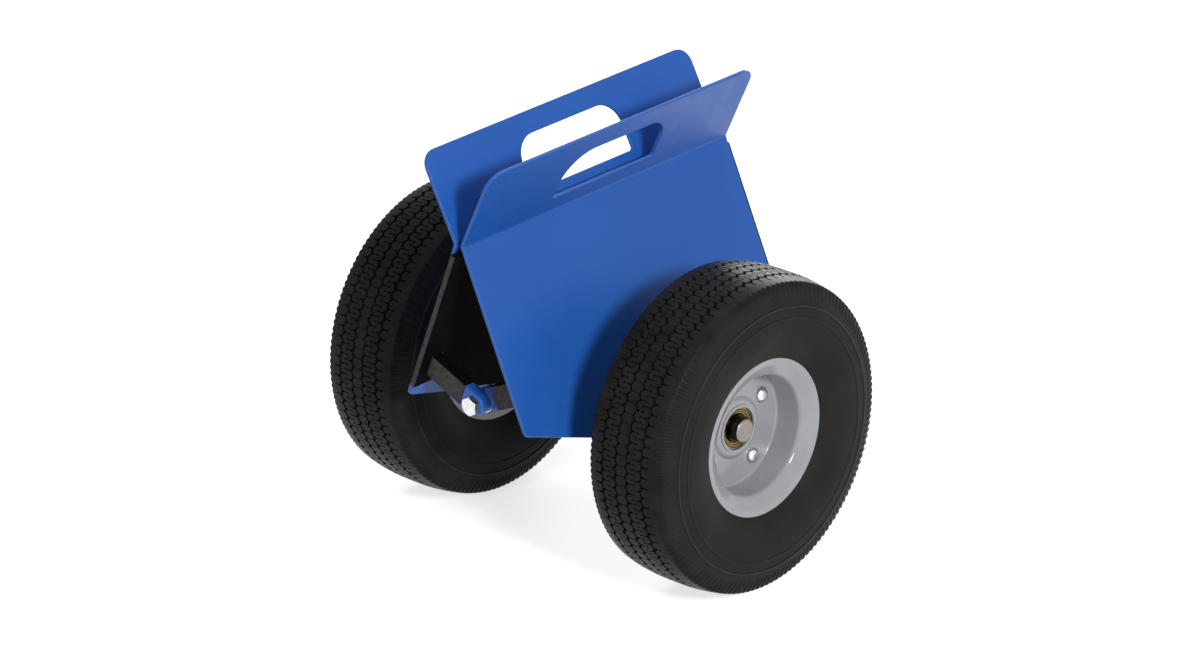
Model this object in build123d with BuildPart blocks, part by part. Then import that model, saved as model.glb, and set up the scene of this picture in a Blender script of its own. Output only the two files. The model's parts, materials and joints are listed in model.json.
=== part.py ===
from build123d import *
from math import cos, pi, radians, sin, sqrt, tan
import os

# Self-clamping plate dolly: two hinged jaw plates, each carried by one wheel.
# The axles run along X, the dolly rolls along Y, and the floor is Z = 0.
# The right half (+X) is modelled, and the left half is the same half turned about Z.
# Driving dimensions are in millimetres and degrees.

# Tyres
wheel_diameter = 260.35
track = 290.6
tyre_width = 87.4
tread_width = 68.0
tread_crown = 3.0
tread_flat_count = 48
widest_radius = 93.0
shoulder_fillet = 3.5
groove_count = 4
groove_pitch = 13.6
groove_width = 2.8
groove_depth = 4.0
outer_ring_radius = 109.0
inner_ring_radius = 100.0
ring_section = 0.8

# Rims
rim_seat_diameter = 101.6
rim_lip_diameter = 129.6
rim_width = 66.4
rim_sheet = 2.0
rim_bend_radius = 6.0
disc_bend_radius = 4.0
boss_land = 2.3
boss_height = 3.0
boss_bend_radius = 3.0
rim_bolt_circle = 71.0
rim_bolt_count = 4
rim_bolt_angle = 31.0
rim_bolt_diameter = 6.35
rim_bolt_head_diameter = 13.0
rim_bolt_head_height = 4.4
rim_bolt_tail = 2.5
rim_nut_across_flats = 11.1
rim_nut_height = 5.6

# Hubs and bearings
hub_length = 57.15
hub_outboard = 6.0
hub_tube_diameter = 39.2
bearing_diameter = 34.9
bearing_width = 11.1
bearing_recess = 1.8
outer_race_thickness = 2.9
inner_race_thickness = 2.6
shield_thickness = 0.8
shield_setback = 0.8
shield_gap = 0.4
ball_diameter = 6.0
ball_count = 7

# Stub axles
axle_diameter = 19.05
axle_tail = 7.0
axle_proud = 1.5
axle_chamfer = 0.8
collar_diameter = 28.6
washer_diameter = 24.0
washer_thickness = 1.6
retainer_diameter = 23.4
retainer_thickness = 1.2
retainer_depth = 0.8
retainer_opening = 40.0

# Jaw plates and pads
plate_length = 303.0
plate_thickness = 3.0
jaw_lean = 23.0
corner_drop = 157.0
apex_drop = 210.0
apex_radius = 40.0
panel_corner_radius = 6.0
flare_lean = 27.0
flare_length = 76.5
flare_corner_radius = 14.0
bend_radius = 3.0
hole_length = 114.0
hole_bottom = 15.5
hole_height = 43.0
hole_top_radius = 20.0
hole_wide_radius = 31.0
hole_bottom_radius = 3.0
pad_thickness = 4.8
pad_top_gap = 7.8
pad_shift = 4.0
pad_window_margin = 1.5
pad_below_arms = 6.5
pad_tongue = 23.5
pad_tongue_margin = 12.0
pad_axle_gap = 0.5
closing_gap = 0.6

# Hinge
hinge_height = 157.1
arm_reach = 55.5
bar_height = 19.05
bar_thickness = 9.5
sleeve_start = 13.0
sleeve_end_gap = 1.0
sleeve_thickness = 0.5
hinge_bolt_diameter = 9.525
hinge_bolt_across_flats = 14.3
hinge_bolt_head_height = 6.1
hinge_bolt_setback = 3.2
hinge_bolt_tail = 3.0
hinge_nut_height = 6.0
hinge_nut_collar = 2.4
hinge_washer_diameter = 20.0
hinge_washer_thickness = 1.0
hex_chamfer = 30.0

# Clearances
running_gap = 0.05
side_play = 0.3
seat_gap = 0.1
bolt_gap = 0.25

# Derived places of the right wheel
axle_height = wheel_diameter / 2
axle_radius = axle_diameter / 2
wheel_x = track / 2
hub_outer_x = wheel_x + hub_outboard
hub_inner_x = hub_outer_x - hub_length
retainer_x = hub_outer_x - bearing_recess + side_play
axle_end_x = retainer_x + retainer_thickness + axle_tail
inner_washer_x = hub_inner_x + bearing_recess - side_play - washer_thickness

# Derived directions and places of the right jaw
lean = radians(jaw_lean)
flare_angle = radians(flare_lean)
outward = Vector(cos(lean), 0, sin(lean))
upward = Vector(-sin(lean), 0, cos(lean))
flare_up = Vector(sin(flare_angle), 0, cos(flare_angle))
flare_out = Vector(cos(flare_angle), 0, -sin(flare_angle))
panel_foot = Vector(0, 0, hinge_height) + outward * arm_reach
bend_x = closing_gap / 2 - pad_top_gap * sin(lean) + pad_thickness * cos(lean)
bend_rise = (panel_foot.X - bend_x) / sin(lean)
bend_point = panel_foot + upward * bend_rise
pad_reach = bend_rise + bar_height / 2 + pad_window_margin + pad_below_arms - pad_top_gap
sleeve_length = arm_reach - sleeve_start - sleeve_end_gap

# Derived stack of the front hinge, from the bolt head backwards
head_y = -plate_length / 2 + hinge_bolt_setback
outer_arm_y = head_y + hinge_bolt_head_height
spacer_y = outer_arm_y + bar_thickness
inner_arm_y = spacer_y + hinge_washer_thickness + side_play
nut_washer_y = inner_arm_y + bar_thickness + side_play
nut_y = nut_washer_y + hinge_washer_thickness
nut_collar_y = nut_y + hinge_nut_height
hinge_bolt_end_y = nut_collar_y + hinge_nut_collar + hinge_bolt_tail

# The right half holds the inner arm in front and, turned about Z, the outer arm at the rear
right_arm_faces = {"front": inner_arm_y, "rear": -spacer_y}

# Working planes of the wheel section (axial, radial), the jaw panel and the flare (along Y, upwards)
wheel_section = Plane(origin=(wheel_x, 0, axle_height), x_dir=(1, 0, 0), z_dir=(0, -1, 0))
wheel_axis = Axis((wheel_x, 0, axle_height), (1, 0, 0))
panel_plane = Plane(origin=bend_point, x_dir=(0, 1, 0), z_dir=outward)
flare_plane = Plane(origin=bend_point, x_dir=(0, 1, 0), z_dir=flare_out)


def panel_x(height):
    """X of the inner face of the right jaw panel at a height."""
    return bend_point.X + (bend_point.Z - height) * tan(lean)


def across_axle(x):
    """Plane square to the axle at x, with local x along +Y and local y along +Z."""
    return Plane(origin=(x, 0, axle_height), x_dir=(0, 1, 0), z_dir=(1, 0, 0))


def across_hinge(y):
    """Plane square to the hinge at y, facing +Y."""
    return Plane(origin=(0, y, hinge_height), x_dir=(1, 0, 0), z_dir=(0, 1, 0))


def along_arm(y):
    """Plane of the front face of a right arm, with local x towards the panel and local y up along it."""
    return Plane(origin=(0, y, hinge_height), x_dir=outward, z_dir=(0, -1, 0))


# Tyre: a solid foam ring seated between the rim flanges, with a crowned, grooved tread
# The tread is faceted into short flats, which stand in for the patch that a loaded tyre presses flat
half_tyre = tyre_width / 2
half_tread = tread_width / 2
tread_top_radius = axle_height / cos(pi / tread_flat_count)
tread_edge_radius = tread_top_radius - tread_crown
bead_x = rim_width / 2 - rim_sheet - seat_gap
bead_radius = rim_seat_diameter / 2 + seat_gap
over_lip_radius = rim_lip_diameter / 2 + seat_gap
side_inset = half_tyre - half_tread
side_rise = tread_edge_radius - widest_radius
side_arc = (side_inset**2 + side_rise**2) / (2 * side_inset)
crown_start = groove_pitch / 2
crown_run = half_tread - crown_start
crown_arc = (crown_run**2 + tread_crown**2) / (2 * tread_crown)
groove_places = [groove_pitch * (index - (groove_count - 1) / 2) for index in range(groove_count)]


def tread_radius(x):
    """Radius of the tread, flat in the middle row and rounded off towards its edges."""
    return tread_top_radius - crown_arc + sqrt(crown_arc**2 - max(abs(x) - crown_start, 0) ** 2)


def sidewall_x(radius):
    """X of the tyre's upper sidewall from the wheel's middle, at a radius."""
    return half_tyre - side_arc + sqrt(side_arc**2 - (radius - widest_radius) ** 2)


with BuildPart() as right_tyre:
    with BuildSketch(wheel_section) as tyre_profile:
        with BuildLine():
            crown = Polyline([(x, tread_radius(x)) for x in (-half_tread, *groove_places, half_tread)])
            upper = TangentArc((half_tyre, widest_radius), crown @ 1, tangent=(0, 1))
            lower = TangentArc(upper @ 0, (rim_width / 2, over_lip_radius), tangent=(0, -1))
            lip_seat = Line(lower @ 1, (bead_x, over_lip_radius))
            bead = FilletPolyline(
                lip_seat @ 1, (bead_x, bead_radius), (0, bead_radius), radius=rim_bend_radius - seat_gap
            )
            mirror([upper, lower, lip_seat, bead], about=Plane.YZ)
        make_face()
        tread_edges = tyre_profile.vertices().filter_by_position(Axis.Y, tread_edge_radius, tread_edge_radius)
        fillet(tread_edges, shoulder_fillet)
        for ring_radius in (outer_ring_radius, inner_ring_radius):
            ring_x = sidewall_x(ring_radius)
            with Locations((ring_x, ring_radius), (-ring_x, ring_radius)):
                Circle(ring_section)
    revolve(axis=wheel_axis)
    with BuildSketch(wheel_section):
        for groove_x in groove_places:
            with Locations((groove_x, tread_radius(groove_x) - groove_depth)):
                Rectangle(groove_width, 2 * groove_depth, align=(Align.CENTER, Align.MIN))
    revolve(axis=wheel_axis, mode=Mode.SUBTRACT)
    with BuildSketch(across_axle(wheel_x)):
        RegularPolygon(axle_height, tread_flat_count, major_radius=False, rotation=180 / tread_flat_count)
    extrude(amount=tyre_width, both=True, mode=Mode.INTERSECT)
right_tyre.part.label = "right_tyre"

# Rim halves: pressed steel dishes that meet at the wheel's middle and are bolted together
rim_seat_radius = rim_seat_diameter / 2
flange_x = rim_width / 2 - rim_sheet
hub_hole_radius = hub_tube_diameter / 2 + seat_gap
boss_radius = hub_hole_radius + boss_land

with BuildPart() as right_rim_outer_half:
    with BuildSketch(wheel_section):
        with BuildLine():
            FilletPolyline(
                (boss_height, hub_hole_radius),
                (boss_height, boss_radius),
                (0, boss_radius + boss_height),
                (0, rim_seat_radius),
                (flange_x, rim_seat_radius),
                (flange_x, rim_lip_diameter / 2),
                radius=(boss_bend_radius, boss_bend_radius, disc_bend_radius, rim_bend_radius),
            )
            offset(amount=rim_sheet, side=Side.RIGHT)
        make_face()
    revolve(axis=wheel_axis)
    with BuildSketch(across_axle(wheel_x)):
        with PolarLocations(rim_bolt_circle / 2, rim_bolt_count, start_angle=rim_bolt_angle):
            Circle(rim_bolt_diameter / 2 + bolt_gap)
    extrude(amount=rim_sheet, mode=Mode.SUBTRACT)
right_rim_outer_half.part.label = "right_rim_outer_half"

with BuildPart() as right_rim_inner_half:
    mirror(right_rim_outer_half.part, about=across_axle(wheel_x))
right_rim_inner_half.part.label = "right_rim_inner_half"

# Rim bolts and nuts: round heads outside, hexagon nuts inside
with BuildPart() as right_rim_bolts:
    with BuildSketch(across_axle(wheel_x + rim_sheet)):
        with PolarLocations(rim_bolt_circle / 2, rim_bolt_count, start_angle=rim_bolt_angle):
            Circle(rim_bolt_head_diameter / 2)
    extrude(amount=rim_bolt_head_height)
    fillet(right_rim_bolts.faces().sort_by(Axis.X)[-rim_bolt_count:].edges(), rim_bolt_head_height - seat_gap)
    with BuildSketch(across_axle(wheel_x + rim_sheet)):
        with PolarLocations(rim_bolt_circle / 2, rim_bolt_count, start_angle=rim_bolt_angle):
            Circle(rim_bolt_diameter / 2)
    extrude(amount=-(2 * rim_sheet + rim_nut_height + rim_bolt_tail))
right_rim_bolts.part.label = "right_rim_bolts"

with BuildPart() as right_rim_nuts:
    with BuildSketch(across_axle(wheel_x - rim_sheet)):
        with PolarLocations(rim_bolt_circle / 2, rim_bolt_count, start_angle=rim_bolt_angle):
            RegularPolygon(rim_nut_across_flats / 2, 6, major_radius=False)
            Circle(rim_bolt_diameter / 2 + seat_gap, mode=Mode.SUBTRACT)
    extrude(amount=-rim_nut_height)
right_rim_nuts.part.label = "right_rim_nuts"

# Hub tube with a shielded ball bearing pressed into each end
bearing_radius = bearing_diameter / 2
outer_race_radius = bearing_radius - outer_race_thickness
inner_bore_radius = axle_radius + running_gap
inner_race_radius = inner_bore_radius + inner_race_thickness
shield_radius = inner_race_radius + shield_gap
ball_circle_radius = (outer_race_radius + inner_race_radius) / 2
bearing_face_x = hub_outboard - bearing_recess
ball_x = bearing_face_x - bearing_width / 2
ball_groove_radius = ball_diameter / 2 + seat_gap
hub_middle = Plane.YZ.offset(hub_outboard - hub_length / 2)

with BuildPart() as right_hub_tube:
    with BuildSketch(across_axle(hub_inner_x)):
        Circle(hub_tube_diameter / 2)
        Circle(bearing_radius + running_gap, mode=Mode.SUBTRACT)
    extrude(amount=hub_length)
right_hub_tube.part.label = "right_hub_tube"

with BuildPart() as right_bearing_outer_races:
    with BuildSketch(wheel_section):
        with Locations((bearing_face_x, outer_race_radius)):
            Rectangle(bearing_width, outer_race_thickness, align=(Align.MAX, Align.MIN))
        with Locations((ball_x, ball_circle_radius)):
            Circle(ball_groove_radius, mode=Mode.SUBTRACT)
        with Locations((bearing_face_x - shield_setback, shield_radius)):
            Rectangle(shield_thickness, bearing_radius - shield_radius, align=(Align.MAX, Align.MIN))
        mirror(about=hub_middle)
    revolve(axis=wheel_axis)
right_bearing_outer_races.part.label = "right_bearing_outer_races"

with BuildPart() as right_bearing_inner_races:
    with BuildSketch(wheel_section):
        with Locations((bearing_face_x, inner_bore_radius)):
            Rectangle(bearing_width, inner_race_thickness, align=(Align.MAX, Align.MIN))
        with Locations((ball_x, ball_circle_radius)):
            Circle(ball_groove_radius, mode=Mode.SUBTRACT)
        mirror(about=hub_middle)
    revolve(axis=wheel_axis)
right_bearing_inner_races.part.label = "right_bearing_inner_races"

with BuildPart() as right_bearing_balls:
    for bearing_x in (wheel_x + ball_x, hub_inner_x + hub_outboard - ball_x):
        with Locations(across_axle(bearing_x)):
            with PolarLocations(ball_circle_radius, ball_count):
                Sphere(ball_diameter / 2)
right_bearing_balls.part.label = "right_bearing_balls"

# Stub axle: welded through the jaw panel, with a groove for the retaining ring near its outer end
axle_inner_x = panel_x(axle_height + axle_radius) - axle_proud

with BuildPart() as right_stub_axle:
    with BuildSketch(across_axle(axle_inner_x)):
        Circle(axle_radius)
    extrude(amount=axle_end_x - axle_inner_x)
    chamfer(right_stub_axle.faces().sort_by(Axis.X)[-1].edges(), axle_chamfer)
    with BuildSketch(across_axle(retainer_x - seat_gap)):
        Circle(axle_diameter)
        Circle(axle_radius - retainer_depth, mode=Mode.SUBTRACT)
    extrude(amount=retainer_thickness + 2 * seat_gap, mode=Mode.SUBTRACT)
right_stub_axle.part.label = "right_stub_axle"

# Axle collar: a tube mitred to the panel, which stops the wheel on the inside
with BuildPart() as right_axle_collar:
    with BuildSketch(across_axle(axle_inner_x)):
        Circle(collar_diameter / 2)
        Circle(axle_radius + seat_gap, mode=Mode.SUBTRACT)
    extrude(amount=inner_washer_x - axle_inner_x)
    split(bisect_by=panel_plane.offset(plate_thickness), keep=Keep.TOP)
right_axle_collar.part.label = "right_axle_collar"

with BuildPart() as right_inner_washer:
    with BuildSketch(across_axle(inner_washer_x)):
        Circle(washer_diameter / 2)
        Circle(axle_radius + bolt_gap, mode=Mode.SUBTRACT)
    extrude(amount=washer_thickness)
right_inner_washer.part.label = "right_inner_washer"

# Retaining ring: an open spring ring in the axle's groove, which stops the wheel on the outside
retainer_inner_radius = axle_radius - retainer_depth + seat_gap
opening_reach = retainer_diameter * tan(radians(retainer_opening / 2))

with BuildPart() as right_retaining_ring:
    with BuildSketch(across_axle(retainer_x)):
        Circle(retainer_diameter / 2)
        Circle(retainer_inner_radius, mode=Mode.SUBTRACT)
        with BuildLine():
            Polyline(
                (0, 0), (-opening_reach, -retainer_diameter), (opening_reach, -retainer_diameter), close=True
            )
        make_face(mode=Mode.SUBTRACT)
    extrude(amount=retainer_thickness)
right_retaining_ring.part.label = "right_retaining_ring"

# Jaw plate: a bent steel panel that points down to the axle and flares out above the bend
with BuildPart() as plate_blank:
    with BuildSketch(Plane.XZ):
        with BuildLine():
            bottom = bend_point - upward * apex_drop
            top = bend_point + flare_up * flare_length
            FilletPolyline(
                (bottom.X, bottom.Z),
                (bend_point.X, bend_point.Z),
                (top.X, top.Z),
                radius=bend_radius + plate_thickness,
            )
            offset(amount=plate_thickness, side=Side.RIGHT)
        make_face()
    extrude(amount=plate_length / 2, both=True)
    top_corners = plate_blank.edges().filter_by(Axis((0, 0, 0), flare_out)).group_by(Axis.Z)[-1]
    fillet(top_corners, flare_corner_radius)
    with BuildSketch(panel_plane) as panel_outline:
        with BuildLine():
            Polyline(
                (-plate_length / 2, flare_length),
                (-plate_length / 2, -corner_drop),
                (0, -apex_drop),
                (plate_length / 2, -corner_drop),
                (plate_length / 2, flare_length),
                close=True,
            )
        make_face()
        fillet(panel_outline.vertices().group_by(Axis.Y)[1], panel_corner_radius)
        fillet(panel_outline.vertices().sort_by(Axis.Y)[0], apex_radius)
    extrude(amount=flare_length, both=True, mode=Mode.INTERSECT)
    with BuildSketch(across_axle(axle_inner_x)):
        Circle(axle_radius + seat_gap)
    extrude(amount=collar_diameter, mode=Mode.SUBTRACT)


def hand_hole(front_radius):
    """Outline of the hand hole on the flare, with its own front top corner."""
    with BuildSketch(flare_plane) as hole:
        with Locations((0, hole_bottom)):
            Rectangle(hole_length, hole_height, align=(Align.CENTER, Align.MIN))
        fillet(hole.vertices().group_by(Axis.Y)[0], hole_bottom_radius)
        fillet(hole.vertices().group_by(Axis.Y)[-1].sort_by(Axis.X)[0], front_radius)
        fillet(hole.vertices().group_by(Axis.Y)[-1].sort_by(Axis.X)[-1], hole_top_radius)
    return hole.sketch


with BuildPart() as right_jaw_plate:
    add(plate_blank.part)
    extrude(hand_hole(hole_wide_radius), amount=2 * plate_thickness, both=True, mode=Mode.SUBTRACT)
right_jaw_plate.part.label = "right_jaw_plate"

# Rubber pad on the gripping face, with a window round the foot of each arm and a tongue between the arms
# It stays clear of the axle's inner end
tongue_half_length = -(inner_arm_y + bar_thickness) - pad_tongue_margin

with BuildPart() as right_jaw_pad:
    with BuildSketch(panel_plane):
        with Locations((pad_shift, -pad_top_gap)):
            Rectangle(plate_length, pad_reach, align=(Align.CENTER, Align.MAX))
        with Locations((0, -pad_top_gap)):
            Rectangle(2 * tongue_half_length, pad_reach + pad_tongue, align=(Align.CENTER, Align.MAX))
        for face_y in right_arm_faces.values():
            with Locations((face_y + bar_thickness / 2, -bend_rise)):
                Rectangle(
                    bar_thickness + 2 * pad_window_margin,
                    bar_height + 2 * pad_window_margin,
                    mode=Mode.SUBTRACT,
                )
    extrude(amount=-pad_thickness)
    with BuildSketch(across_axle(axle_inner_x - pad_axle_gap)):
        Circle(axle_radius + pad_axle_gap)
    extrude(amount=collar_diameter, mode=Mode.SUBTRACT)
right_jaw_pad.part.label = "right_jaw_pad"

# Arms: flat bars from the panel to the hinge, each in a rubber sleeve
right_arms = []
right_sleeves = []
for place, face_y in right_arm_faces.items():
    with BuildPart() as arm:
        with BuildSketch(along_arm(face_y)):
            Rectangle(arm_reach, bar_height, align=(Align.MIN, Align.CENTER))
            Circle(bar_height / 2)
            Circle(hinge_bolt_diameter / 2 + running_gap, mode=Mode.SUBTRACT)
        extrude(amount=-bar_thickness)
    arm.part.label = f"right_{place}_arm"
    right_arms.append(arm)

    sleeve_origin = Vector(0, face_y + bar_thickness / 2, hinge_height) + outward * sleeve_start
    with BuildPart() as sleeve:
        with BuildSketch(Plane(origin=sleeve_origin, x_dir=(0, 1, 0), z_dir=outward)):
            RectangleRounded(
                bar_thickness + 2 * sleeve_thickness, bar_height + 2 * sleeve_thickness, 2 * sleeve_thickness
            )
            Rectangle(bar_thickness, bar_height, mode=Mode.SUBTRACT)
        extrude(amount=sleeve_length)
    sleeve.part.label = f"right_{place}_sleeve"
    right_sleeves.append(sleeve)

# Hinge bolts, nuts and washers: modelled in front, and turned about Z for the rear
hex_radius = hinge_bolt_across_flats / 2
hex_cone = hinge_bolt_head_height / tan(radians(hex_chamfer))

with BuildPart() as front_hinge_bolt:
    with BuildSketch(across_hinge(outer_arm_y)):
        RegularPolygon(hex_radius, 6, major_radius=False, rotation=30)
    extrude(amount=-hinge_bolt_head_height)
    with Locations(Plane(origin=(0, outer_arm_y, hinge_height), z_dir=(0, -1, 0))):
        Cone(
            hex_radius + hex_cone,
            hex_radius,
            hinge_bolt_head_height,
            align=(Align.CENTER, Align.CENTER, Align.MIN),
            mode=Mode.INTERSECT,
        )
    with BuildSketch(across_hinge(outer_arm_y)):
        Circle(hinge_bolt_diameter / 2)
    extrude(amount=hinge_bolt_end_y - outer_arm_y)
    chamfer(front_hinge_bolt.faces().sort_by(Axis.Y)[-1].edges(), hinge_washer_thickness)
front_hinge_bolt.part.label = "front_hinge_bolt"

with BuildPart() as front_hinge_nut:
    with BuildSketch(across_hinge(nut_y)):
        RegularPolygon(hex_radius, 6, major_radius=False, rotation=30)
    extrude(amount=hinge_nut_height)
    with BuildSketch(across_hinge(nut_collar_y)):
        Circle(hex_radius - seat_gap)
    extrude(amount=hinge_nut_collar)
    fillet(front_hinge_nut.faces().sort_by(Axis.Y)[-1].edges(), hinge_nut_collar / 2)
    with BuildSketch(across_hinge(nut_y)):
        Circle(hinge_bolt_diameter / 2 + seat_gap)
    extrude(amount=hinge_nut_height + hinge_nut_collar, mode=Mode.SUBTRACT)
front_hinge_nut.part.label = "front_hinge_nut"

with BuildPart() as front_hinge_washers:
    for washer_y in (spacer_y, nut_washer_y):
        with BuildSketch(across_hinge(washer_y)):
            Circle(hinge_washer_diameter / 2)
            Circle(hinge_bolt_diameter / 2 + seat_gap, mode=Mode.SUBTRACT)
        extrude(amount=hinge_washer_thickness)
front_hinge_washers.part.label = "front_hinge_washers"

# The other half and the rear hinge: the same pieces turned half a turn about Z
turned_pieces = [
    right_tyre,
    right_rim_outer_half,
    right_rim_inner_half,
    right_rim_bolts,
    right_rim_nuts,
    right_hub_tube,
    right_bearing_outer_races,
    right_bearing_inner_races,
    right_bearing_balls,
    right_stub_axle,
    right_axle_collar,
    right_inner_washer,
    right_retaining_ring,
    right_jaw_pad,
    *right_arms,
    *right_sleeves,
    front_hinge_bolt,
    front_hinge_nut,
    front_hinge_washers,
]
turned_words = {"right": "left", "front": "rear", "rear": "front"}
finished_pieces = [right_jaw_plate, *turned_pieces]

for piece in turned_pieces:
    with BuildPart() as turned_piece:
        add(piece.part, rotation=(0, 0, 180))
    words = piece.part.label.split("_")
    turned_piece.part.label = "_".join(turned_words.get(word, word) for word in words)
    finished_pieces.append(turned_piece)

with BuildPart() as plain_jaw_plate:
    add(plate_blank.part)
    extrude(hand_hole(hole_top_radius), amount=2 * plate_thickness, both=True, mode=Mode.SUBTRACT)

with BuildPart() as left_jaw_plate:
    add(plain_jaw_plate.part, rotation=(0, 0, 180))
left_jaw_plate.part.label = "left_jaw_plate"
finished_pieces.append(left_jaw_plate)

os.makedirs("parts", exist_ok=True)
for piece in finished_pieces:
    export_step(piece.part, f"parts/{piece.part.label}.step")
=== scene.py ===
import json
import math

import bpy
from mathutils import Matrix, Vector


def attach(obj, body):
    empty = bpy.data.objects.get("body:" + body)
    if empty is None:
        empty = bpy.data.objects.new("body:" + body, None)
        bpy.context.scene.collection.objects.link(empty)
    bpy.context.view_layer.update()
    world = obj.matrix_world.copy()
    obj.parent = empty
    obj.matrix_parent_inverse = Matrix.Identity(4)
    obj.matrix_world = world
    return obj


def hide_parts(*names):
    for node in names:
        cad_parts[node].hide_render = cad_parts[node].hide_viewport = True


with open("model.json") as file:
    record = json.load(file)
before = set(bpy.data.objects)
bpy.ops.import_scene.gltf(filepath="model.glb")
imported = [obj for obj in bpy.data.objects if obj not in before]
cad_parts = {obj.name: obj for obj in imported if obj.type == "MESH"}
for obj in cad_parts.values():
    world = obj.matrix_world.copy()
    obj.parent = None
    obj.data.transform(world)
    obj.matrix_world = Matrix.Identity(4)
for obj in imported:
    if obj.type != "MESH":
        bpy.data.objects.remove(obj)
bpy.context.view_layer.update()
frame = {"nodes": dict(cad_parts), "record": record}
nodes = frame["nodes"]
scene = bpy.context.scene

# Sizes of the part, in metres
wheel_x = 0.1453
axle_height = 0.130175
hinge_height = 0.1571
jaw_lean = math.radians(23.0)
arm_reach = 0.0555
plate_thickness = 0.003
collar_radius = 0.0143
axle_end_x = 0.158
edge_segments = 3

# Right panel: the direction square to it, away from the hinge, and the direction up along it
hinge = Vector((0.0, 0.0, hinge_height))
outward = Vector((math.cos(jaw_lean), 0.0, math.sin(jaw_lean)))
upward = Vector((-outward.z, 0.0, outward.x))

# The left half is the right half turned about the vertical axis
unturned = Matrix.Identity(4)
half_turn = Matrix.Rotation(math.pi, 4, "Z")
halves = (("right", unturned), ("left", half_turn))
wheel_place = Matrix.Translation((wheel_x, 0.0, axle_height))


class Nodes:
    """Helpers that add nodes to a tree."""

    def __init__(self, tree):
        self.tree = tree

    def node(self, kind, inputs=None, **settings):
        """A new node with some settings and input values."""
        node = self.tree.nodes.new(kind)
        for name, value in settings.items():
            setattr(node, name, value)
        for name, value in (inputs or {}).items():
            node.inputs[name].default_value = value
        return node

    def link(self, out, inp):
        self.tree.links.new(out, inp)

    def fade(self, value, start, end, low=0.0, high=1.0):
        """A value taken from one range to another, and held at the ends."""
        ranges = {"From Min": start, "From Max": end, "To Min": low, "To Max": high}
        node = self.node("ShaderNodeMapRange", ranges)
        self.link(value, node.inputs["Value"])
        return node.outputs["Result"]

    def calculate(self, operation, first, second):
        node = self.node("ShaderNodeMath", operation=operation)
        self.link(first, node.inputs[0])
        self.link(second, node.inputs[1])
        return node.outputs[0]

    def seen_rays(self):
        """The rays that show the white background: of the camera, of reflections and of transmission."""
        path = self.node("ShaderNodeLightPath")
        shown = path.outputs["Is Camera Ray"]
        for kind in ("Is Glossy Ray", "Is Transmission Ray"):
            shown = self.calculate("MAXIMUM", shown, path.outputs[kind])
        return shown


# Studio
def make_camera():
    """The camera of the photograph."""
    eye = Vector((2.87618, -2.95624, 1.970695))
    target = Vector((0.00191, 0.00052, 0.169015))
    roll = math.radians(-1.94)
    back = (eye - target).normalized()
    level = Vector((0, 0, 1)).cross(back).normalized()
    rise = back.cross(level)
    right = level * math.cos(roll) + rise * math.sin(roll)
    up = rise * math.cos(roll) - level * math.sin(roll)
    data = bpy.data.cameras.new("photo_camera")
    data.sensor_fit = "HORIZONTAL"
    data.sensor_width = 36.0
    data.lens = 168.594
    data.clip_start = 0.05
    data.clip_end = 60.0
    camera = bpy.data.objects.new("photo_camera", data)
    turn = Matrix((right, up, back)).transposed().to_4x4()
    camera.matrix_world = Matrix.Translation(eye) @ turn
    scene.collection.objects.link(camera)
    scene.camera = camera


def make_world():
    """A world that lights the part softly and shows white."""
    soft_light = {"Color": (1.0, 0.93, 0.98, 1.0), "Strength": 0.25}
    white_view = {"Color": (1.0, 1.0, 1.0, 1.0), "Strength": 1.0}
    world = bpy.data.worlds.new("studio")
    scene.world = world
    world.use_nodes = True
    world.node_tree.nodes.clear()
    tree = Nodes(world.node_tree)
    output = tree.node("ShaderNodeOutputWorld")
    mix = tree.node("ShaderNodeMixShader")
    tree.link(tree.seen_rays(), mix.inputs[0])
    tree.link(tree.node("ShaderNodeBackground", soft_light).outputs[0], mix.inputs[1])
    tree.link(tree.node("ShaderNodeBackground", white_view).outputs[0], mix.inputs[2])
    tree.link(mix.outputs[0], output.inputs[0])


def make_lamps():
    """Round area lamps, each with a name, a place, a width and a power in watts."""
    lamps = (
        ("key_light", (2.58, -1.0, 1.56), 0.5, 65.0),
        ("top_light", (-0.2, 0.6, 2.8), 1.6, 14.0),
        ("back_light", (-1.0, 2.1, 1.0), 1.3, 35.0),
        ("front_light", (0.3, -2.6, 0.9), 1.2, 9.0),
    )
    aim = Vector((0.0, 0.0, 0.2))
    for name, place, size, power in lamps:
        data = bpy.data.lights.new(name, "AREA")
        data.shape = "DISK"
        data.size = size
        data.energy = power
        light = bpy.data.objects.new(name, data)
        turn = (aim - Vector(place)).to_track_quat("-Z", "Y").to_matrix().to_4x4()
        light.matrix_world = Matrix.Translation(place) @ turn
        scene.collection.objects.link(light)


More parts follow.
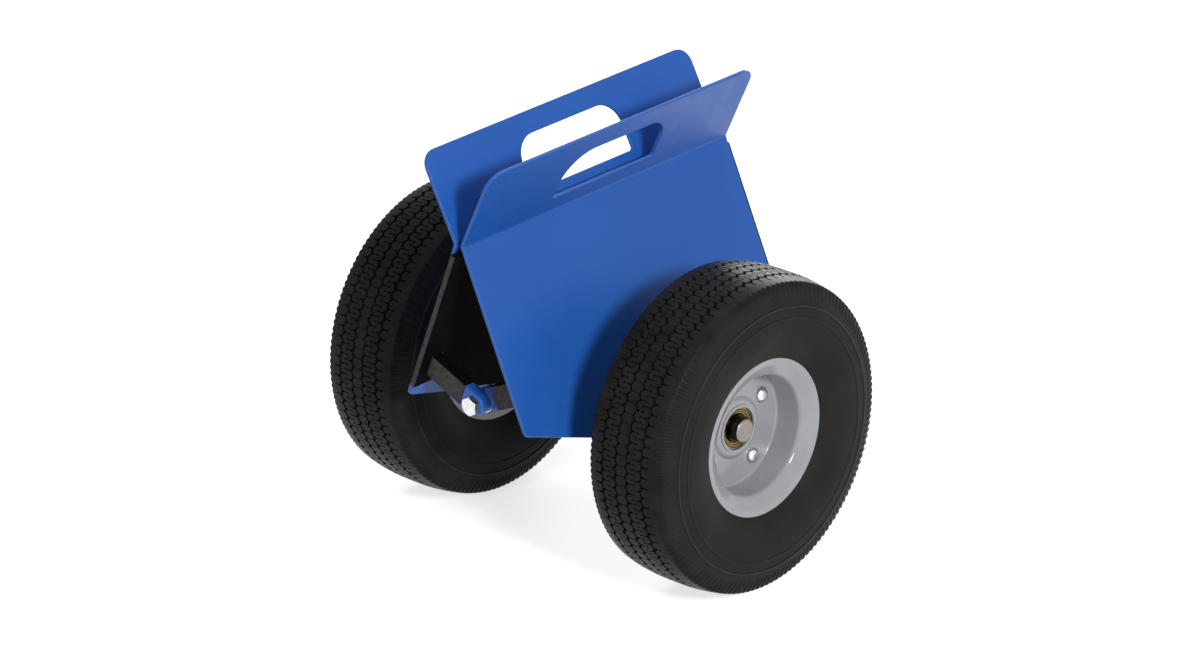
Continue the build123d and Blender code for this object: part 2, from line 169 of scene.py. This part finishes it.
def make_floor():
    """A pale floor that keeps the part's shadow and glows to white away from it."""
    reach = 7.0
    gap_below_tyres = 0.0004
    glow_start, glow_end = 0.8, 3.0
    near_glow, far_glow = 0.7, 1.0
    corners = [(-reach, -reach, 0), (reach, -reach, 0), (reach, reach, 0), (-reach, reach, 0)]
    mesh = bpy.data.meshes.new("studio_floor")
    mesh.from_pydata(corners, [], [(0, 1, 2, 3)])
    floor = bpy.data.objects.new("studio_floor", mesh)
    floor.location.z = -gap_below_tyres
    scene.collection.objects.link(floor)
    material = bpy.data.materials.new("studio_floor")
    material.use_nodes = True
    material.node_tree.nodes.clear()
    tree = Nodes(material.node_tree)
    output = tree.node("ShaderNodeOutputMaterial")
    matt = tree.node("ShaderNodeBsdfDiffuse", {"Color": (0.75, 0.75, 0.75, 1.0)})
    glow = tree.node("ShaderNodeEmission", {"Color": (1.0, 1.0, 1.0, 1.0)})
    distance = tree.node("ShaderNodeVectorMath", operation="LENGTH")
    tree.link(tree.node("ShaderNodeTexCoord").outputs["Object"], distance.inputs[0])
    level = tree.fade(distance.outputs["Value"], glow_start, glow_end, near_glow, far_glow)
    tree.link(tree.calculate("MULTIPLY", tree.seen_rays(), level), glow.inputs["Strength"])
    add = tree.node("ShaderNodeAddShader")
    tree.link(matt.outputs[0], add.inputs[0])
    tree.link(glow.outputs[0], add.inputs[1])
    tree.link(add.outputs[0], output.inputs[0])
    mesh.materials.append(material)


# Node materials
class Finish(Nodes):
    """A principled material with helpers that work in the object's own coordinates."""

    patch_detail = 4.0
    patch_start, patch_end = 0.35, 0.65
    rough_start, rough_end = 0.3, 0.7
    bump_strength = 0.5

    def __init__(self, name):
        self.material = bpy.data.materials.new(name)
        self.material.use_nodes = True
        super().__init__(self.material.node_tree)
        self.shader = self.tree.nodes["Principled BSDF"]
        self.coordinates = self.node("ShaderNodeTexCoord")
        self.place = self.coordinates.outputs["Object"]

    def level(self, name, value):
        self.shader.inputs[name].default_value = value

    def noise(self, scale, detail=3.0):
        node = self.node("ShaderNodeTexNoise", {"Scale": scale, "Detail": detail})
        self.link(self.place, node.inputs["Vector"])
        return node.outputs["Fac"]

    def moved(self, scale, shift):
        node = self.node("ShaderNodeMapping", {"Scale": scale, "Location": shift})
        self.link(self.place, node.inputs["Vector"])
        return node.outputs["Vector"]

    def radius(self, height):
        """Distance from a line along X at a height."""
        node = self.node("ShaderNodeVectorMath", operation="LENGTH")
        self.link(self.moved((0.0, 1.0, 1.0), (0.0, 0.0, -height)), node.inputs[0])
        return node.outputs["Value"]

    def size_of(self, vector, axis):
        """Length of one component of a vector, without its sign."""
        split = self.node("ShaderNodeSeparateXYZ")
        self.link(vector, split.inputs[0])
        node = self.node("ShaderNodeMath", operation="ABSOLUTE")
        self.link(split.outputs[axis], node.inputs[0])
        return node.outputs[0]

    def ramp(self, factor, *stops):
        """Colours along a factor, each stop a place and a colour."""
        node = self.node("ShaderNodeValToRGB")
        elements = node.color_ramp.elements
        elements[0].position, elements[1].position = stops[0][0], stops[-1][0]
        elements[0].color, elements[1].color = (*stops[0][1], 1.0), (*stops[-1][1], 1.0)
        for place, colour in stops[1:-1]:
            elements.new(place).color = (*colour, 1.0)
        self.link(factor, node.inputs["Fac"])
        return node.outputs["Color"]

    def mottle(self, scale, low, high):
        """Two colours that run into each other in patches."""
        patches = self.noise(scale, self.patch_detail)
        return self.ramp(patches, (self.patch_start, low), (self.patch_end, high))

    def mix(self, factor, first, second):
        # The colour sockets of this node can only be told from its others by number
        first_colour, second_colour, mixed_colour = 6, 7, 2
        node = self.node("ShaderNodeMix", data_type="RGBA")
        self.link(factor, node.inputs["Factor"])
        self.link(first, node.inputs[first_colour])
        self.link(second, node.inputs[second_colour])
        return node.outputs[mixed_colour]

    def colour(self, colour):
        self.link(colour, self.shader.inputs["Base Color"])

    def roughness(self, low, high, scale=120.0):
        patches = self.noise(scale, self.patch_detail)
        roughness = self.fade(patches, self.rough_start, self.rough_end, low, high)
        self.link(roughness, self.shader.inputs["Roughness"])

    def bump(self, height, depth):
        node = self.node("ShaderNodeBump", {"Distance": depth, "Strength": self.bump_strength})
        self.link(height, node.inputs["Height"])
        self.link(node.outputs["Normal"], self.shader.inputs["Normal"])


def blue_paint():
    finish = Finish("blue_powder_coat")
    finish.colour(finish.mottle(9.0, (0.0115, 0.090, 0.380), (0.0140, 0.101, 0.415)))
    finish.roughness(0.34, 0.44, 60.0)
    finish.level("Specular IOR Level", 0.35)
    finish.bump(finish.noise(900.0, 2.0), 0.00006)
    return finish.material


def grey_paint():
    finish = Finish("grey_wheel_paint")
    finish.colour(finish.mottle(40.0, (0.295, 0.305, 0.322), (0.32, 0.33, 0.347)))
    finish.roughness(0.12, 0.20)
    finish.bump(finish.noise(700.0, 2.0), 0.00005)
    return finish.material


def tyre_rubber():
    """Dark, slightly glossy tread over paler matt sidewalls, whose raised lines carry a painted highlight
    along their crests.
    """
    wall_start, wall_end = 0.098, 0.112
    crest_half_width = 0.0005
    tread_start, tread_end = 0.1195, 0.1245
    wall_roughness, tread_roughness = 0.48, 0.36
    plain, faint, full = (0.0, 0.0, 0.0), (0.35, 0.35, 0.35), (1.0, 1.0, 1.0)

    stops = [(0.0, plain)]
    for line, shade in ((inner_line, faint), (outer_line, full)):
        crest = ((line - crest_half_width, plain), (line, shade), (line + crest_half_width, plain))
        stops += [((radius - wall_start) / (wall_end - wall_start), colour) for radius, colour in crest]
    stops.append((1.0, plain))

    finish = Finish("tyre_rubber")
    # Painted highlight: a paler colour along the crests of the two raised sidewall lines
    crest_highlight_mask = finish.ramp(finish.fade(finish.radius(0.0), wall_start, wall_end), *stops)
    painted_crest_highlight = finish.mottle(80.0, (0.045, 0.044, 0.042), (0.070, 0.069, 0.066))
    tread = finish.fade(finish.radius(0.0), tread_start, tread_end)
    wall = finish.mottle(30.0, (0.0172, 0.0168, 0.0160), (0.0230, 0.0224, 0.0212))
    block = finish.mottle(60.0, (0.0115, 0.0112, 0.0105), (0.0180, 0.0175, 0.0162))
    finish.colour(finish.mix(tread, finish.mix(crest_highlight_mask, wall, painted_crest_highlight), block))
    roughness = finish.fade(tread, 0.0, 1.0, wall_roughness, tread_roughness)
    finish.link(roughness, finish.shader.inputs["Roughness"])
    finish.level("Specular IOR Level", 0.04)
    finish.bump(finish.noise(1300.0, 3.0), 0.00016)
    return finish.material


def black_rubber():
    """Black rubber, its colour darkened further as painted shade inside the jaws, with painted light as a
    paler colour on the faces that point along the plates.
    """
    lit_side_start, lit_side_end = 0.85, 0.97
    finish = Finish("black_rubber")
    # Painted light: faces pointing along the plates get a paler colour; the rest is darkened as painted
    # shade
    lit_side_mask = finish.fade(finish.size_of(finish.coordinates.outputs["Normal"], "Y"), lit_side_start, lit_side_end)
    shaded_face_colour = finish.mottle(50.0, (0.0035, 0.0036, 0.0036), (0.005, 0.005, 0.005))
    paler_colour = finish.mottle(220.0, (0.050, 0.0495, 0.051), (0.080, 0.079, 0.081))
    finish.colour(finish.mix(lit_side_mask, shaded_face_colour, paler_colour))
    finish.roughness(0.65, 0.75, 200.0)
    finish.level("Specular IOR Level", 0.01)
    finish.bump(finish.noise(1100.0), 0.00006)
    return finish.material


def zinc_steel():
    finish = Finish("bright_zinc")
    finish.level("Metallic", 1.0)
    finish.colour(finish.mottle(160.0, (0.60, 0.615, 0.61), (0.74, 0.75, 0.74)))
    finish.roughness(0.22, 0.38, 300.0)
    finish.bump(finish.noise(1600.0, 2.0), 0.00004)
    return finish.material


def yellow_zinc():
    """Gold on the raised rings of a bearing, with painted shade between them."""
    bore_radius, outer_radius = 0.009, 0.018
    painted_shade = (0.022, 0.019, 0.014)
    gold = (0.56, 0.40, 0.15)
    finish = Finish("yellow_zinc")
    finish.level("Metallic", 1.0)
    # The dark bands between the gold rings are painted shade in the hub's recess
    finish.colour(finish.ramp(
        finish.fade(finish.radius(axle_height), bore_radius, outer_radius),
        (0.0, painted_shade),
        (0.385, painted_shade), (0.43, gold), (0.47, painted_shade),
        (0.56, painted_shade), (0.62, gold), (0.67, painted_shade),
        (0.78, painted_shade), (0.83, gold), (0.885, painted_shade),
    ))
    finish.roughness(0.22, 0.34, 300.0)
    finish.bump(finish.noise(1600.0, 2.0), 0.00004)
    return finish.material


def axle_steel():
    """A dark colour on the axle's side as a painted reflection, with a bare cut end."""
    bare_start, bare_end = axle_end_x - 0.0008, axle_end_x - 0.0006
    side_roughness, bare_roughness = 0.16, 0.5
    finish = Finish("axle_steel_dark_reflection")
    finish.level("Metallic", 0.6)
    bare = finish.fade(finish.size_of(finish.place, "X"), bare_start, bare_end)
    # Painted reflection: the side of the glossy axle is coloured dark where it reflects dark surroundings
    painted_dark_reflection = finish.mottle(140.0, (0.030, 0.029, 0.028), (0.050, 0.048, 0.046))
    paler_colour = finish.mottle(500.0, (0.25, 0.225, 0.21), (0.32, 0.295, 0.275))
    finish.colour(finish.mix(bare, painted_dark_reflection, paler_colour))
    roughness = finish.fade(bare, 0.0, 1.0, side_roughness, bare_roughness)
    finish.link(roughness, finish.shader.inputs["Roughness"])
    turned = finish.node("ShaderNodeTexWave", {"Scale": 420.0}, wave_type="RINGS", rings_direction="X")
    finish.link(finish.moved((1.0, 1.0, 1.0), (0.0, 0.0, -axle_height)), turned.inputs["Vector"])
    finish.bump(turned.outputs["Fac"], 0.000012)
    return finish.material


# Rim half: a pressed dish with a raised boss and a bell-mouthed lip
# Each step goes straight for a length, then turns by an angle in degrees round a radius
# From the hub, the steps are the boss, its slope, the dish, the barrel, the mouth and the lip
rim_steps = (
    (0.00106, 45.0, 0.005),
    (0.00176, -45.0, 0.001),
    (0.02056, -90.0, 0.002),
    (0.0192, 60.0, 0.005),
    (0.0092, 22.0, 0.004),
    (0.0041, 0.0, 0.0),
)
rim_sheet = 0.002
hub_edge = (0.005, 0.0197)
bend_points = 6
lip_points = 2 * bend_points + 3


def rim_path():
    """Places and headings along the seen face of a rim half, from the hub to the lip."""
    place = Vector(hub_edge)
    heading = math.radians(90.0)
    path = [(place.copy(), heading)]

    def go(distance):
        place.x += distance * math.cos(heading)
        place.y += distance * math.sin(heading)

    for length, turn, radius in rim_steps:
        go(length)
        path.append((place.copy(), heading))
        half_step = math.radians(turn) / bend_points / 2
        for _ in range(bend_points if turn else 0):
            heading += half_step
            go(2 * radius * abs(math.sin(half_step)))
            heading += half_step
            path.append((place.copy(), heading))
    return path


def set_back(path, distance):
    """Axial places and radii behind the seen face."""
    return [
        (place.x - distance * math.sin(heading), place.y + distance * math.cos(heading))
        for place, heading in path
    ]


# Tyre section, with the share of a raised line's height by the distance from its crest
tread_half_width = 0.034
tread_crown = 0.003
crown_start = 0.0068
crown_run = tread_half_width - crown_start
crown_arc = (crown_run**2 + tread_crown**2) / (2 * tread_crown)
tread_edge_radius = axle_height - tread_crown
tyre_half_width = 0.0437
widest_radius = 0.093
lip_place = (0.0332, 0.0652)
lip_clearance = 0.0018
seat_gap = 0.0001
shoulder_fillet = 0.0035
outer_line = 0.109
inner_line = 0.100
outer_line_height = 0.0009
inner_line_height = 0.0007
line_offsets = ((0.0022, 0.0), (0.0010, 0.0), (0.0007, 0.75))
plain_wall_radius = 0.0955
plain_wall_steps = 7
wall_count = 144

# Tyre tread, with the widths of pits and sipes as shares of the pitch of the blocks
block_count = 96
inner_groove = 0.0057
outer_groove = 0.0202
groove_width = 0.0021
groove_depth = 0.004
groove_slope = 0.0002
zigzag = 0.0010
notch_length = 0.0022
pit_width = 0.085
pit_length = 0.0012
pit_depth = 0.0026
pit_slope = 0.0003
middle_pit_depth = 0.0008
shoulder_pit = 0.0262
sipe_width = 0.03
sipe_depth = 0.0009
block_round = 0.0006
half_pitch = (0.045, 0.075, 0.095, 0.405, 0.425, 0.455)

# Tyre ribs, with the share of their height across a rib (by phase), round the shoulder (by turn)
# and down the wall (by the radius above their ends)
rib_count = 144
rib_height = 0.0007
rib_end_radius = 0.1155
rib_end_gap = 0.0015
rib_points = ((0.04, 0.0), (0.24, 0.0), (0.36, 1.0), (0.56, 1.0), (0.76, 1.0), (0.90, 0.0))
rib_start = ((0.0, 0.0), (0.3, 0.2), (0.65, 0.7), (1.0, 1.0))
rib_end = ((0.0056, 1.0), (0.0016, 1.0), (0.0005, 0.4), (0.0, 0.0))


# Each ring of a tyre or a rim is a list of angles, with an axial place and a radius at each angle
def plain_ring(place):
    """A ring with the same axial place and radius all round."""
    return [2 * math.pi * index / wall_count for index in range(wall_count)], [place] * wall_count


def crown_radius(x):
    """Radius of the tread at an axial place."""
    return axle_height - crown_arc + math.sqrt(crown_arc**2 - max(abs(x) - crown_start, 0.0) ** 2)


def tread_rings():
    """Rings across the tread: wavy grooves, and notches from their corners that end in small pits."""
    phases = (0.0, *half_pitch, 0.5, *[1.0 - phase for phase in reversed(half_pitch)])
    step = 2 * math.pi / block_count
    angles = [(block + phase) * step for block in range(block_count) for phase in phases]

    def groove_edge(groove, end, phase):
        middle, side = groove
        return middle + side * zigzag * (1.0 - 4.0 * abs(phase - 0.5)) + end * groove_width / 2

    def notch_phase(groove, end):
        """Phase at which a groove's edge points away from the groove."""
        return 0.5 if groove[1] * end > 0 else 0.0

    def row(place, drop, *cuts):
        """A ring at a place that depends on the phase, lowered all round and cut at some phases."""
        def point(phase):
            x = place(phase)
            depth = drop
            for cut_phase, width, cut_depth in cuts:
                distance = abs(phase - cut_phase)
                if min(distance, 1.0 - distance) < width:
                    depth = max(depth, cut_depth)
            return x, crown_radius(x) - depth
        return point

    def edge_rows(groove, end):
        """Rows from a groove up its edge and along the notches, for one edge of the groove."""
        def inset(amount):
            return lambda phase: groove_edge(groove, end, phase) + end * amount

        in_middle = groove[0] * end < 0 and abs(groove[0]) == inner_groove
        notch = (notch_phase(groove, end), pit_width, middle_pit_depth if in_middle else pit_depth)
        sipe = (notch_phase(groove, end), sipe_width, middle_pit_depth if in_middle else sipe_depth)
        rows = [
            row(inset(-groove_slope), groove_depth),
            row(inset(0.0), block_round, notch),
            row(inset(block_round / 2), 0.0, notch),
            row(inset(notch_length), 0.0, notch),
            row(inset(notch_length + pit_slope), 0.0, sipe),
        ]
        return rows if end > 0 else rows[::-1]

    def pit_rows(place, before, after):
        """Rows across the pits at the ends of the notches from before and after a place."""
        def beside(amount):
            return lambda phase: place(phase) + amount

        def sipes(cut_phases):
            return [(phase, sipe_width, sipe_depth) for phase in cut_phases]

        pits = [(phase, pit_width, pit_depth) for phase in before + after]
        return [
            row(beside(-pit_length / 2 - pit_slope), 0.0, *sipes(before)),
            row(beside(-pit_length / 2), 0.0, *pits),
            row(beside(pit_length / 2), 0.0, *pits),
            row(beside(pit_length / 2 + pit_slope), 0.0, *sipes(after)),
        ]

    def between(left, right):
        return lambda phase: (groove_edge(left, 1, phase) + groove_edge(right, -1, phase)) / 2

    grooves = [(-outer_groove, 1), (-inner_groove, 1), (inner_groove, -1), (outer_groove, -1)]
    rows = pit_rows(lambda phase: -shoulder_pit, [], [0.0])
    for left, right in zip(grooves, grooves[1:]):
        rows += edge_rows(left, -1) + edge_rows(left, 1)
        if left[1] == right[1]:
            rows += pit_rows(between(left, right), [notch_phase(left, 1)], [notch_phase(right, -1)])
        else:
            rows.append(row(between(left, right), 0.0, (0.5, sipe_width, middle_pit_depth)))
    rows += edge_rows(grooves[-1], -1) + edge_rows(grooves[-1], 1)
    rows += pit_rows(lambda phase: shoulder_pit, [0.0], [])
    return [(angles, [point(phase) for phase in phases] * block_count) for point in rows]


def side_point(radius, proud):
    """Place on the sidewall at a radius, raised square to the wall."""
    inset = tyre_half_width - (tread_half_width if radius > widest_radius else lip_place[0])
    rise = (tread_edge_radius if radius > widest_radius else lip_place[1]) - widest_radius
    arc = (inset**2 + rise**2) / (2 * inset)
    centre_x = tyre_half_width - arc
    x = centre_x + math.sqrt(arc**2 - (radius - widest_radius) ** 2)
    direction = Vector((x - centre_x, radius - widest_radius)).normalized()
    return x + direction.x * proud, radius + direction.y * proud


def shoulder_rings():
    """Rings round the shoulder, with fine ribs that run down onto the sidewall."""
    rise = tread_edge_radius - widest_radius
    inset = tyre_half_width - tread_half_width
    side_arc = (inset**2 + rise**2) / (2 * inset)
    crown_slope = Vector((-1.0, crown_run / (crown_arc - tread_crown))).normalized()
    side_slope = Vector((rise / (side_arc - inset), -1.0)).normalized()
    half_corner = crown_slope.angle(side_slope) / 2
    corner = Vector((tread_half_width, tread_edge_radius))
    centre = corner + (crown_slope + side_slope).normalized() * shoulder_fillet / math.sin(half_corner)
    round_start = corner + crown_slope * shoulder_fillet / math.tan(half_corner) - centre
    round_end = corner + side_slope * shoulder_fillet / math.tan(half_corner) - centre

    def round_row(turn, share):
        direction = round_start.lerp(round_end, turn).normalized()

        def row(rib):
            place = centre + direction * (shoulder_fillet + rib_height * share * rib)
            return place.x, place.y
        return row

    def wall_row(radius, share):
        return lambda rib: side_point(radius, rib_height * share * rib)

    step = 2 * math.pi / rib_count
    angles = [(rib + phase) * step for rib in range(rib_count) for phase, _ in rib_points]
    rows = [round_row(turn, share) for turn, share in rib_start]
    rows += [wall_row(rib_end_radius + above, share) for above, share in rib_end]
    return [(angles, [row(rib) for _, rib in rib_points] * rib_count) for row in rows]


def wall_rings():
    """Plain rings from the ribs down to the rim, with two raised lines on the sidewall."""
    line_points = (*line_offsets, (0.0, 1.0), *[(-offset, share) for offset, share in line_offsets[::-1]])
    places = [side_point(rib_end_radius - rib_end_gap, 0.0)]
    for line, height in ((outer_line, outer_line_height), (inner_line, inner_line_height)):
        places += [side_point(line + offset, height * share) for offset, share in line_points]
    drop = (lip_place[1] + lip_clearance - plain_wall_radius) / (plain_wall_steps - 1)
    places += [side_point(plain_wall_radius + drop * index, 0.0) for index in range(plain_wall_steps)]
    bead = set_back(rim_path()[::-1], rim_sheet + seat_gap)[:lip_points:2]
    places += [lip_place, *bead]
    return [plain_ring(place) for place in places]


def mirrored(rings):
    """The same rings on the other side of the middle plane."""
    return [(angles, [(-x, radius) for x, radius in places]) for angles, places in reversed(rings)]


def zipped_faces(low, low_angles, high, high_angles):
    """Faces between two closed rings that start at the vertices low and high."""
    low_count, high_count = len(low_angles), len(high_angles)
    if low_angles == high_angles:
        turns = [(index, (index + 1) % low_count) for index in range(low_count)]
        return [(low + index, low + after, high + after, high + index) for index, after in turns]
    low_ends = low_angles[1:] + [low_angles[0] + 2 * math.pi]
    high_ends = high_angles[1:] + [high_angles[0] + 2 * math.pi]
    faces = []
    first, second = 0, 0
    while first < low_count or second < high_count:
        here, there = low + first % low_count, high + second % high_count
        if second == high_count or (first < low_count and low_ends[first] <= high_ends[second]):
            first += 1
            faces.append((here, low + first % low_count, there))
        else:
            second += 1
            faces.append((here, high + second % high_count, there))
    return faces


def ring_mesh(name, rings):
    """A closed mesh through rings, from the last of them back to the first."""
    crease_angle = math.radians(32.0)
    vertices = []
    starts = []
    for angles, places in rings:
        starts.append(len(vertices))
        for angle, (x, radius) in zip(angles, places):
            vertices.append((x, radius * math.cos(angle), radius * math.sin(angle)))
    faces = []
    for index in range(len(rings)):
        after = (index + 1) % len(rings)
        faces += zipped_faces(starts[index], rings[index][0], starts[after], rings[after][0])
    mesh = bpy.data.meshes.new(name)
    mesh.from_pydata(vertices, [], faces)
    mesh.validate()
    mesh.shade_smooth()
    mesh.set_sharp_from_angle(angle=crease_angle)
    mesh.flip_normals()
    return mesh


def place_tyres(material):
    """Tyres with notched blocks between wavy grooves, ribbed shoulders and ringed sidewalls."""
    side = shoulder_rings() + wall_rings()
    mesh = ring_mesh("tyre", mirrored(side) + tread_rings() + side)
    mesh.materials.append(material)
    for word, turn in halves:
        tyre = bpy.data.objects.new(f"{word}_tyre_moulding", mesh)
        scene.collection.objects.link(tyre)
        tyre.matrix_world = turn @ wheel_place
        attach(tyre, f"{word}_wheel")
        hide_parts(f"{word}_tyre")


def place_rims(material):
    """Both pressed halves of each rim, from the hub to the lip and back behind the sheet."""
    path = rim_path()
    section = set_back(path, rim_sheet) + set_back(path[::-1], 0.0)
    mesh = ring_mesh("rim_half", [plain_ring(place) for place in section])
    mesh.materials.append(material)
    for word, turn in halves:
        for half, facing in (("outer", unturned), ("inner", half_turn)):
            rim = bpy.data.objects.new(f"{word}_rim_{half}_pressing", mesh)
            scene.collection.objects.link(rim)
            rim.matrix_world = turn @ wheel_place @ facing
            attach(rim, f"{word}_wheel")
            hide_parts(f"{word}_rim_{half}_half")


# Jaw pads, measured along the pad from its middle and up the panel from the feet of the arms
# Each has a window round the foot of each arm, and a tongue down the panel with a notch for the axle
pad_front = -0.1475
pad_rear = 0.1555
pad_top = 0.11867
pad_bottom = -0.01753
pad_thickness = 0.0048
pad_round = 0.0004
window_half_height = 0.01103
front_window = (-0.1329, -0.1204)
rear_window = (0.1312, 0.1437)
notch_half = 0.014
notch_top = -0.04103
tongue_bottom = -0.062
tongue_foot = 0.040
tongue_shoulder = 0.100
tongue_end = 0.117


def pad_cells():
    """Flat cells of a pad, as corners along it and up the panel, all in the same turning sense."""
    tongue = (notch_half, tongue_foot, tongue_shoulder)
    tongue_columns = (*[-place for place in tongue[::-1]], *tongue)
    columns = (pad_front, *front_window, -tongue_end, *tongue_columns, tongue_end, *rear_window, pad_rear)
    rows = (pad_top, window_half_height, -window_half_height, pad_bottom)

    def band(upper, lower, places):
        spans = zip(places, places[1:])
        return [[(a, upper), (b, upper), (b, lower), (a, lower)] for a, b in spans]

    cells = band(pad_bottom, notch_top, tongue_columns)
    for upper, lower in zip(rows, rows[1:]):
        for cell in band(upper, lower, columns):
            is_window = upper == window_half_height and cell[0][0] in (front_window[0], rear_window[0])
            if not is_window:
                cells.append(cell)
    end = [(tongue_shoulder, pad_bottom), (tongue_end, pad_bottom), (tongue_shoulder, notch_top)]
    slope = [(tongue_foot, notch_top), (tongue_shoulder, notch_top), (tongue_foot, tongue_bottom)]
    (leg,) = band(notch_top, tongue_bottom, (notch_half, tongue_foot))
    for side in (1, -1):
        for cell in (end, slope, leg):
            cells.append([(side * along, height) for along, height in cell[::side]])
    return cells


def place_pads(material):
    foot = hinge + outward * arm_reach
    cells = pad_cells()
    corners = list(dict.fromkeys(corner for cell in cells for corner in cell))
    points = [foot + upward * height + Vector((0.0, along, 0.0)) for along, height in corners]
    mesh = bpy.data.meshes.new("jaw_pad")
    mesh.from_pydata(points, [], [[corners.index(corner) for corner in cell] for cell in cells])
    mesh.materials.append(material)
    for word, turn in halves:
        pad = bpy.data.objects.new(f"{word}_pad_lining", mesh)
        scene.collection.objects.link(pad)
        pad.matrix_world = turn
        solid = pad.modifiers.new("thickness", "SOLIDIFY")
        solid.thickness = pad_thickness
        solid.offset = 1.0 if mesh.polygons[0].normal.dot(outward) < 0 else -1.0
        bevel = pad.modifiers.new("rounded_edges", "BEVEL")
        bevel.width = pad_round
        bevel.segments = edge_segments
        bevel.limit_method = "ANGLE"
        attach(pad, f"{word}_half")
        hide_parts(f"{word}_jaw_pad")


# Weld beads
def bead_mesh():
    """A rippled bead round an axle collar, where it meets the outer face of its panel."""
    leg = 0.0032
    root_depth = 0.0002
    ripples = 36
    ripple_share = 0.08
    turns = 144
    arc_steps = 5
    along_collar = Vector((1.0, 0.0, 0.0))
    face_point = hinge + outward * (arm_reach + plate_thickness)
    vertices = []
    for turn in range(turns):
        angle = 2 * math.pi * turn / turns
        side = Vector((0.0, math.cos(angle), math.sin(angle)))
        seam = Vector((0.0, 0.0, axle_height)) + side * collar_radius
        seam.x = face_point.x - (seam.z - face_point.z) * math.tan(jaw_lean)
        along_face = (side - outward * side.dot(outward)).normalized()
        swell = leg * (1.0 + ripple_share * math.cos(ripples * angle))
        vertices.append(seam - (along_face + along_collar) * root_depth)
        for step in range(arc_steps):
            bend = math.radians(90.0) * step / (arc_steps - 1)
            vertices.append(seam + (along_face * math.cos(bend) + along_collar * math.sin(bend)) * swell)
    ring = arc_steps + 1
    faces = []
    for turn in range(turns):
        here, there = turn * ring, (turn + 1) % turns * ring
        for step in range(ring):
            after = (step + 1) % ring
            faces.append((here + step, here + after, there + after, there + step))
    mesh = bpy.data.meshes.new("collar_weld")
    mesh.from_pydata(vertices, [], faces)
    mesh.validate()
    mesh.shade_smooth()
    return mesh


def place_beads(material):
    mesh = bead_mesh()
    mesh.materials.append(material)
    for word, turn in halves:
        bead = bpy.data.objects.new(f"{word}_collar_weld", mesh)
        scene.collection.objects.link(bead)
        bead.matrix_world = turn
        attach(bead, f"{word}_half")


# CAD nodes whose edges are rounded, by the ending of their names, with the width of the rounding
rounded_edges = {
    "jaw_plate": 0.0007,
    "arm": 0.0012,
    "axle_collar": 0.0006,
    "sleeve": 0.0003,
    "hinge_nut": 0.0002,
    "rim_nuts": 0.0003,
}


def round_edges(node, width):
    """Rounded edges on a node, by modifiers alone."""
    weld = node.modifiers.new("joined", "WELD")
    weld.merge_threshold = 0.000002
    flat = node.modifiers.new("whole_faces", "DECIMATE")
    flat.decimate_type = "DISSOLVE"
    flat.angle_limit = math.radians(0.5)
    bevel = node.modifiers.new("rounded_edges", "BEVEL")
    bevel.width = width
    bevel.segments = edge_segments
    bevel.limit_method = "ANGLE"
    bevel.angle_limit = math.radians(38.0)
    bevel.use_clamp_overlap = False
    normals = node.modifiers.new("even_normals", "WEIGHTED_NORMAL")
    normals.weight = 90


def finish_nodes(materials):
    """Gives every CAD node its finish, and the sheet and bar pieces their rounded edges."""
    slots = {entry["node"]: entry["material_slot"] for entry in frame["record"]["subparts"]}
    for name, node in nodes.items():
        node.data.materials.clear()
        node.data.materials.append(materials[slots[name]])
        for ending, width in rounded_edges.items():
            if name.endswith(ending):
                round_edges(node, width)


scene.view_settings.view_transform = "Standard"
make_camera()
make_world()
make_lamps()
make_floor()
materials = {
    "blue_paint": blue_paint(),
    "grey_paint": grey_paint(),
    "tyre_rubber": tyre_rubber(),
    "black_rubber": black_rubber(),
    "zinc_steel": zinc_steel(),
    "yellow_zinc": yellow_zinc(),
    "axle_steel": axle_steel(),
}
finish_nodes(materials)
place_tyres(materials["tyre_rubber"])
place_rims(materials["grey_paint"])
place_pads(materials["black_rubber"])
place_beads(materials["blue_paint"])
